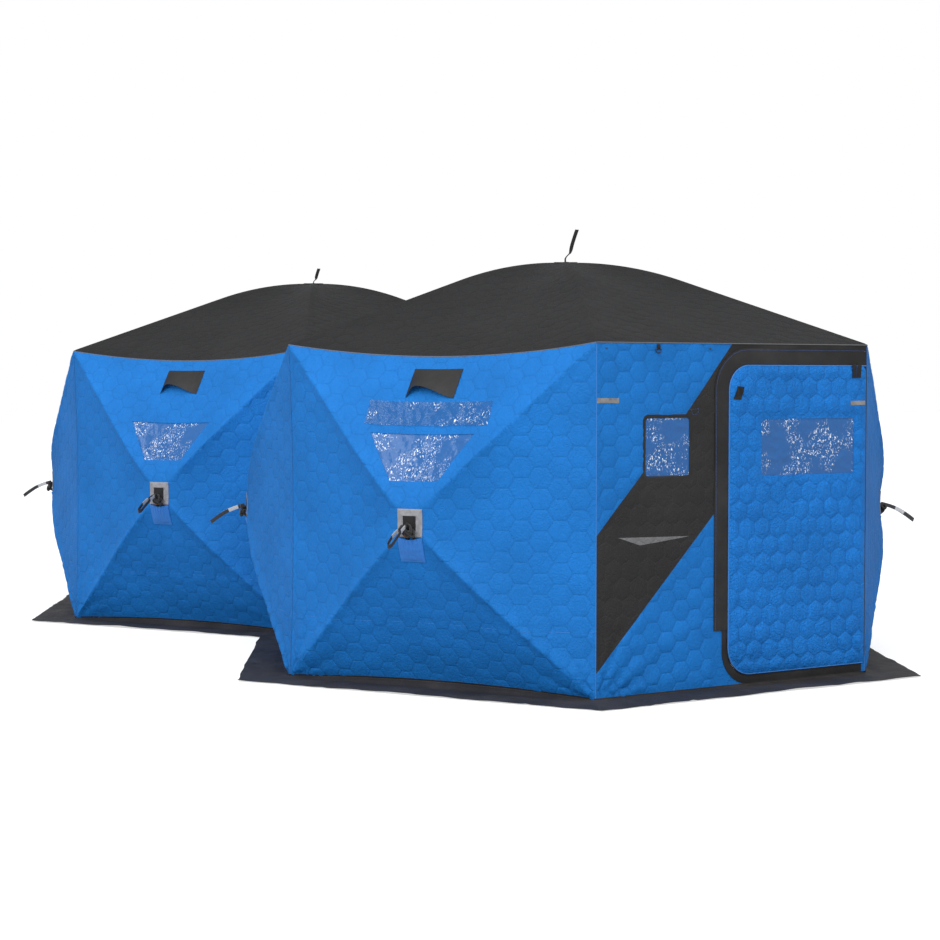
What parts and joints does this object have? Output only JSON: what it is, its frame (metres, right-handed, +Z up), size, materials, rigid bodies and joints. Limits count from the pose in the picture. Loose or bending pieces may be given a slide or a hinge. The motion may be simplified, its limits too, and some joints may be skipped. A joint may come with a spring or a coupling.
{
  "type": "ice fishing hut",
  "caption": "Twin-room pop-up ice fishing hut of quilted fabric: hexagonal rooms sharing an open side, walls and roofs held out by hubs and rods, zipped door, windows, vents and ground skirt.",
  "frame": {"origin": "on the ground, at the middle of the side that the two rooms share", "axes": "+X from the shared side to the front room's door, +Z up"},
  "size_m": [6.8994, 4.3064, 2.5059],
  "materials": {
    "wall_quilt": "blue quilted polyester cloth over padding, stitched in hexagons",
    "roof_quilt": "dark grey quilted polyester cloth over padding, stitched in hexagons",
    "black_cloth": "black coated cloth",
    "skirt_cloth": "black coated cloth, slightly creased",
    "clear_sheet": "clear flexible vinyl",
    "vent_mesh": "fine black mesh",
    "glass_fibre": "solid glass fibre rod with metal ferrules",
    "tip_plastic": "moulded black plastic",
    "hub_plastic": "moulded black plastic",
    "patch_cloth": "silver-grey coated cloth",
    "webbing": "woven polyester webbing",
    "pocket_cloth": "blue polyester cloth, gathered"
  },
  "bodies": {
    "hut": {"front_roof": "roof_quilt", "rear_roof": "roof_quilt", "front_wall_window_side": "wall_quilt", "front_wall_inner_side": "wall_quilt", "front_wall_far_inner": "wall_quilt", "front_wall_far_outer": "wall_quilt", "rear_wall_window_side": "wall_quilt", "rear_wall_inner_side": "wall_quilt", "rear_wall_far_inner": "wall_quilt", "rear_wall_far_outer": "wall_quilt", "front_door_wall_side": "wall_quilt", "front_door_wall_header": "wall_quilt", "front_door_wall_hinge_strip": "wall_quilt", "front_door_wall_sill": "wall_quilt", "rear_door_wall_side": "wall_quilt", "rear_door_wall_header": "wall_quilt", "rear_door_wall_hinge_strip": "wall_quilt", "rear_door_wall_sill": "wall_quilt", "front_door_flap": "black_cloth", "front_hinge_tape": "black_cloth", "rear_door_panel": "wall_quilt", "rear_door_window": "clear_sheet", "rear_door_flap": "black_cloth", "rear_hinge_tape": "black_cloth", "front_windows": "clear_sheet", "rear_windows": "clear_sheet", "side_windows": "clear_sheet", "vent_hoods": "black_cloth", "vent_screens": "vent_mesh", "front_skirt": "skirt_cloth", "rear_skirt": "skirt_cloth", "front_roof_rods": "glass_fibre", "rear_roof_rods": "glass_fibre", "front_wall_rods": "glass_fibre", "rear_wall_rods": "glass_fibre", "rod_tips": "tip_plastic", "roof_hubs": "hub_plastic", "front_wall_hubs": "hub_plastic", "rear_wall_hubs": "hub_plastic", "hub_patches": "patch_cloth", "hub_plates": "webbing", "pull_straps": "webbing", "rope_pockets": "pocket_cloth", "roof_straps": "webbing", "valley_strap": "webbing"},
    "front_door": {"front_door_panel": "wall_quilt", "front_door_window": "clear_sheet"}
  },
  "joints": [
    {"name": "front_door_swing", "type": "hinge", "parent": "hut", "child": "front_door", "pos_m": [3.17865, 0.9, 0], "axis": [0, 0, 1], "range_deg": [0, 110]}
  ]
}
